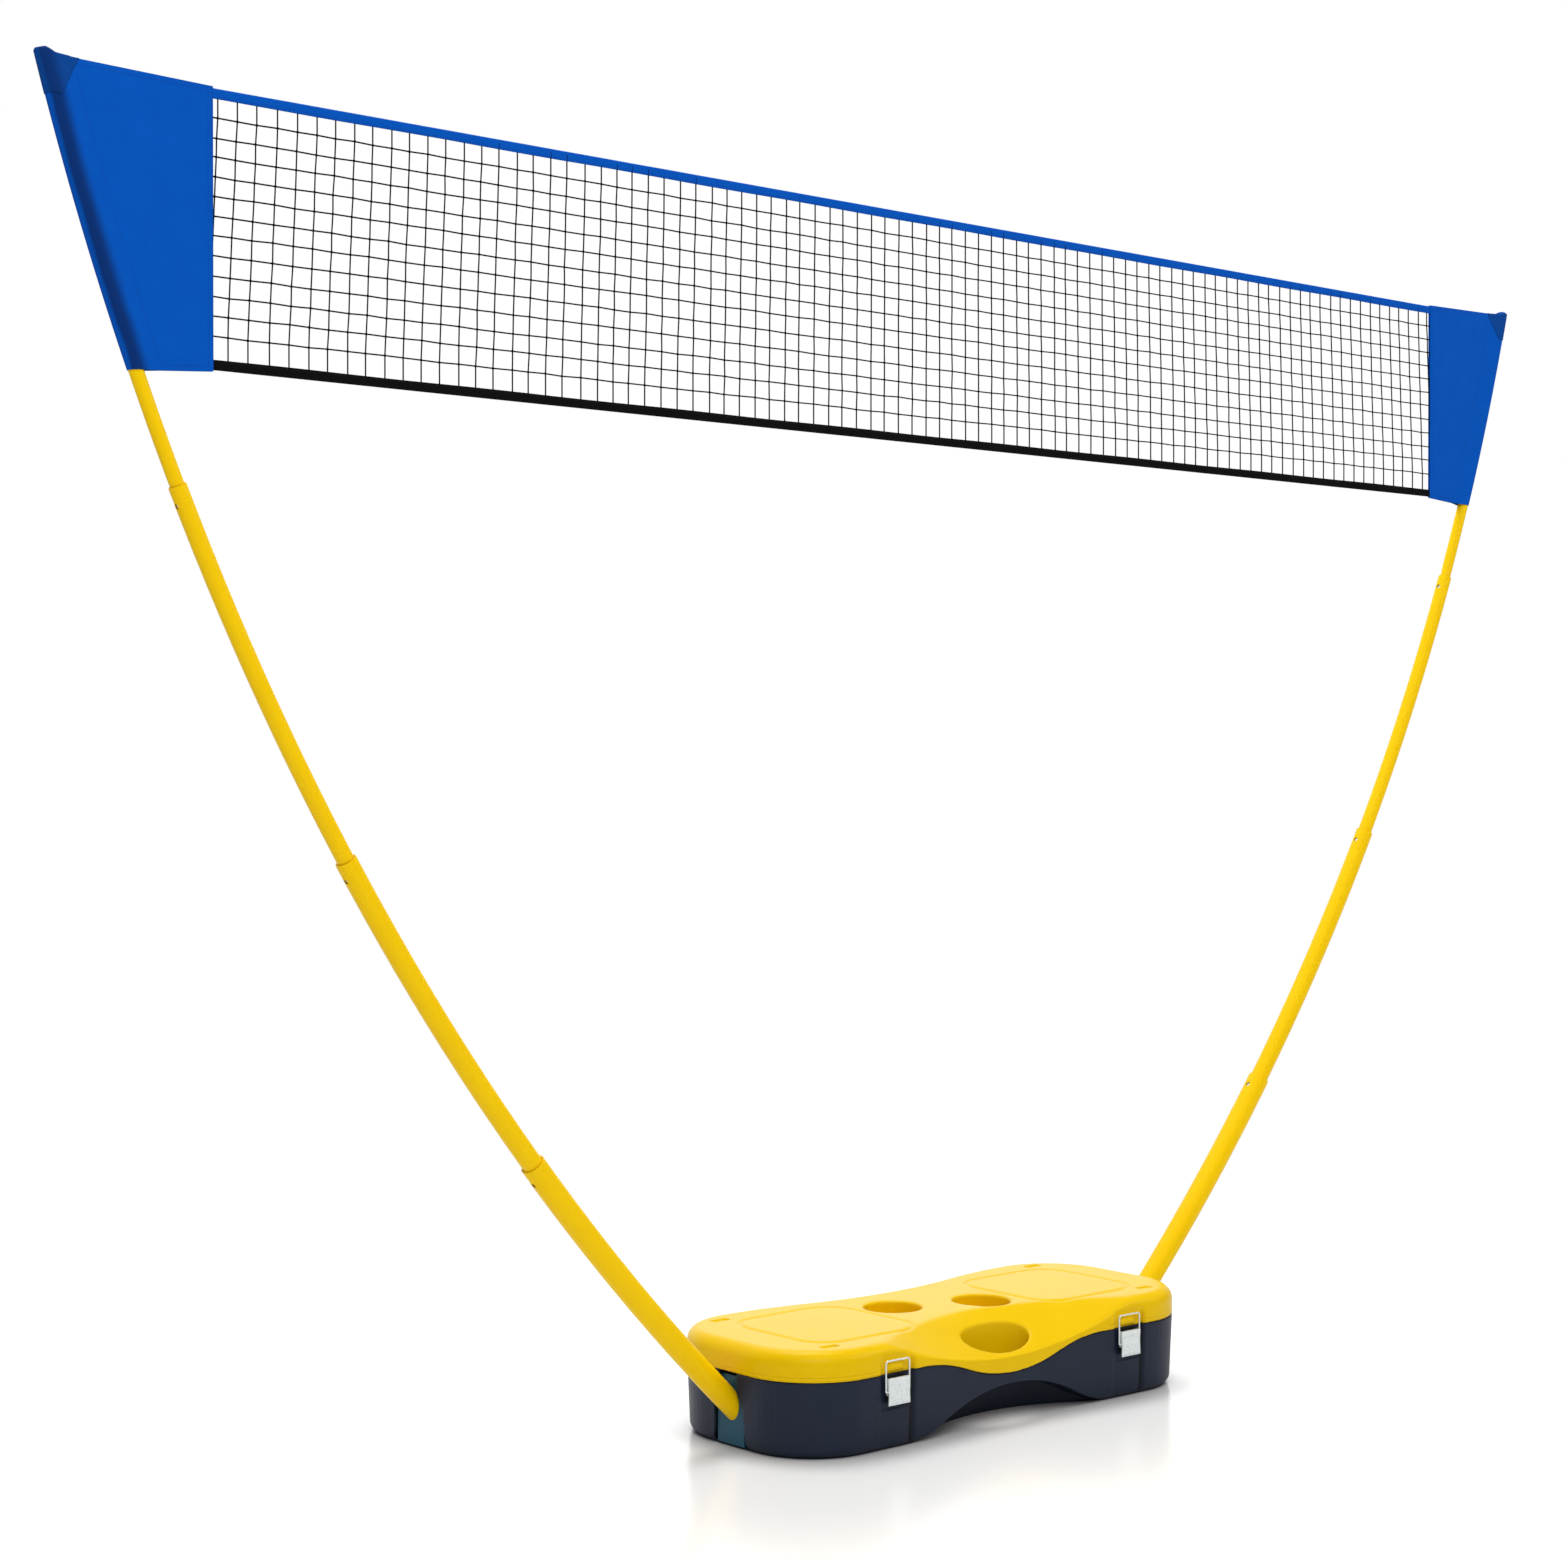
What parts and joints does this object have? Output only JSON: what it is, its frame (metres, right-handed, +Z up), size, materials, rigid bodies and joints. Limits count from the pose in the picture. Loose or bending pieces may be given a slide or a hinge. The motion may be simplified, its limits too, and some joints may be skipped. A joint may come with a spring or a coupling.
{
  "type": "portable net on poles",
  "caption": "Square-mesh court net between two curved telescopic poles that plug into the ends of a latched carry case.",
  "frame": {"origin": "on the ground under the middle of the case", "axes": "+X along the net to the right, -Y to the front with the latches, +Z up"},
  "size_m": [2.531, 0.3014, 1.558],
  "materials": {
    "lid_plastic": "moulded with a fine satin grain",
    "base_plastic": "moulded with a fine satin grain",
    "socket_plastic": "satin",
    "pole_lacquer": "semi-gloss lacquer on thin steel tube",
    "bush_plastic": "plain",
    "cap_rubber": "matt",
    "net_cloth": "plain woven polyester",
    "pocket_cloth": "plain woven polyester",
    "net_cord": "square mesh of thin cord",
    "foot_band": "woven tape",
    "spring_steel": "plain",
    "latch_plating": "bright zinc plating",
    "button_steel": "polished dome"
  },
  "bodies": {
    "case": {"case_base": "base_plastic", "lid_hinge_pins": "spring_steel", "pole_socket_left": "socket_plastic", "socket_screws_left": "spring_steel", "latch_plate_left": "latch_plating", "latch_rivets_left": "latch_plating", "latch_pin_left": "latch_plating", "lower_tube_left": "pole_lacquer", "lower_bush_left": "bush_plastic", "pole_socket_right": "socket_plastic", "socket_screws_right": "spring_steel", "latch_plate_right": "latch_plating", "latch_rivets_right": "latch_plating", "latch_pin_right": "latch_plating", "lower_tube_right": "pole_lacquer", "lower_bush_right": "bush_plastic"},
    "lid": {"case_lid": "lid_plastic"},
    "net": {"net_mesh": "net_cord", "net_top_band": "net_cloth", "net_bottom_band": "foot_band"},
    "latch_lever_left": {"latch_lever_left": "latch_plating"},
    "latch_bail_left": {"latch_bail_left": "latch_plating"},
    "second_pole_left": {"second_tube_left": "pole_lacquer", "second_bush_left": "bush_plastic", "button_spring_left_1": "spring_steel"},
    "third_pole_left": {"third_tube_left": "pole_lacquer", "third_bush_left": "bush_plastic", "button_spring_left_2": "spring_steel"},
    "top_pole_left": {"top_tube_left": "pole_lacquer", "button_spring_left_3": "spring_steel", "pole_tip_cap_left": "cap_rubber", "end_panel_left": "net_cloth", "corner_pocket_left": "pocket_cloth"},
    "snap_button_left_1": {"snap_button_left_1": "button_steel"},
    "snap_button_left_2": {"snap_button_left_2": "button_steel"},
    "snap_button_left_3": {"snap_button_left_3": "button_steel"},
    "latch_lever_right": {"latch_lever_right": "latch_plating"},
    "latch_bail_right": {"latch_bail_right": "latch_plating"},
    "second_pole_right": {"second_tube_right": "pole_lacquer", "second_bush_right": "bush_plastic", "button_spring_right_1": "spring_steel"},
    "third_pole_right": {"third_tube_right": "pole_lacquer", "third_bush_right": "bush_plastic", "button_spring_right_2": "spring_steel"},
    "top_pole_right": {"top_tube_right": "pole_lacquer", "button_spring_right_3": "spring_steel", "pole_tip_cap_right": "cap_rubber", "end_panel_right": "net_cloth", "corner_pocket_right": "pocket_cloth"},
    "snap_button_right_1": {"snap_button_right_1": "button_steel"},
    "snap_button_right_2": {"snap_button_right_2": "button_steel"},
    "snap_button_right_3": {"snap_button_right_3": "button_steel"}
  },
  "joints": [
    {"name": "lid_hinge", "type": "hinge", "parent": "case", "child": "lid", "pos_m": [0, 0.148, 0.0932], "axis": [-1, 0, 0], "range_deg": [0, 105]},
    {"name": "latch_lever_left_hinge", "type": "hinge", "parent": "case", "child": "latch_lever_left", "pos_m": [-0.21, -0.145, 0.088], "axis": [-1, 0, 0], "range_deg": [0, 150]},
    {"name": "latch_bail_left_hinge", "type": "hinge", "parent": "latch_lever_left", "child": "latch_bail_left", "pos_m": [-0.21, -0.145, 0.072], "axis": [-1, 0, 0], "range_deg": [-150, 0]},
    {"name": "second_tube_left_slide", "type": "hinge", "parent": "case", "child": "second_pole_left", "pos_m": [1.861, 0, 2.404], "axis": [0, -1, 0], "range_deg": [0, 6.39]},
    {"name": "snap_button_left_1_press", "type": "slide", "parent": "second_pole_left", "child": "snap_button_left_1", "axis": [0.7742, 0, 0.6329], "range_m": [0, 0.0022], "stiffness_N_per_m": 900, "springref_m": -0.0015, "deforming": ["button_spring_left_1"]},
    {"name": "third_tube_left_slide", "type": "hinge", "parent": "second_pole_left", "child": "third_pole_left", "pos_m": [1.861, 0, 2.404], "axis": [0, -1, 0], "range_deg": [0, 6.39]},
    {"name": "snap_button_left_2_press", "type": "slide", "parent": "third_pole_left", "child": "snap_button_left_2", "axis": [0.8523, 0, 0.523], "range_m": [0, 0.0022], "stiffness_N_per_m": 900, "springref_m": -0.0015, "deforming": ["button_spring_left_2"]},
    {"name": "top_tube_left_slide", "type": "hinge", "parent": "third_pole_left", "child": "top_pole_left", "pos_m": [1.861, 0, 2.404], "axis": [0, -1, 0], "range_deg": [0, 1.77]},
    {"name": "snap_button_left_3_press", "type": "slide", "parent": "top_pole_left", "child": "snap_button_left_3", "axis": [0.9162, 0, 0.4007], "range_m": [0, 0.0022], "stiffness_N_per_m": 900, "springref_m": -0.0015, "deforming": ["button_spring_left_3"]},
    {"name": "latch_lever_right_hinge", "type": "hinge", "parent": "case", "child": "latch_lever_right", "pos_m": [0.21, -0.145, 0.088], "axis": [-1, 0, 0], "range_deg": [0, 150]},
    {"name": "latch_bail_right_hinge", "type": "hinge", "parent": "latch_lever_right", "child": "latch_bail_right", "pos_m": [0.21, -0.145, 0.072], "axis": [-1, 0, 0], "range_deg": [-150, 0]},
    {"name": "second_tube_right_slide", "type": "hinge", "parent": "case", "child": "second_pole_right", "pos_m": [-1.861, 0, 2.404], "axis": [0, 1, 0], "range_deg": [0, 6.39]},
    {"name": "snap_button_right_1_press", "type": "slide", "parent": "second_pole_right", "child": "snap_button_right_1", "axis": [0.7742, 0, -0.6329], "range_m": [0, 0.0022], "stiffness_N_per_m": 900, "springref_m": -0.0015, "deforming": ["button_spring_right_1"]},
    {"name": "third_tube_right_slide", "type": "hinge", "parent": "second_pole_right", "child": "third_pole_right", "pos_m": [-1.861, 0, 2.404], "axis": [0, 1, 0], "range_deg": [0, 6.39]},
    {"name": "snap_button_right_2_press", "type": "slide", "parent": "third_pole_right", "child": "snap_button_right_2", "axis": [0.8523, 0, -0.523], "range_m": [0, 0.0022], "stiffness_N_per_m": 900, "springref_m": -0.0015, "deforming": ["button_spring_right_2"]},
    {"name": "top_tube_right_slide", "type": "hinge", "parent": "third_pole_right", "child": "top_pole_right", "pos_m": [-1.861, 0, 2.404], "axis": [0, 1, 0], "range_deg": [0, 1.77]},
    {"name": "snap_button_right_3_press", "type": "slide", "parent": "top_pole_right", "child": "snap_button_right_3", "axis": [0.9162, 0, -0.4007], "range_m": [0, 0.0022], "stiffness_N_per_m": 900, "springref_m": -0.0015, "deforming": ["button_spring_right_3"]},
    {"name": "net_drop", "type": "slide", "parent": "case", "child": "net", "axis": [0, 0, -1], "range_m": [0, 0.70256], "deforming": ["net_mesh", "net_top_band", "net_bottom_band"]}
  ],
  "couplings": [
    {"joint": "latch_bail_left_hinge", "follows": "latch_lever_left_hinge", "ratio": -1},
    {"joint": "third_tube_left_slide", "follows": "second_tube_left_slide", "ratio": 1},
    {"joint": "top_tube_left_slide", "follows": "second_tube_left_slide", "ratio": 0.27778},
    {"joint": "latch_bail_right_hinge", "follows": "latch_lever_right_hinge", "ratio": -1},
    {"joint": "second_tube_right_slide", "follows": "second_tube_left_slide", "ratio": 1},
    {"joint": "third_tube_right_slide", "follows": "second_tube_left_slide", "ratio": 1},
    {"joint": "top_tube_right_slide", "follows": "second_tube_left_slide", "ratio": 0.27778},
    {"joint": "net_drop", "follows": "second_tube_left_slide", "m_per_rad": 6.3035}
  ]
}
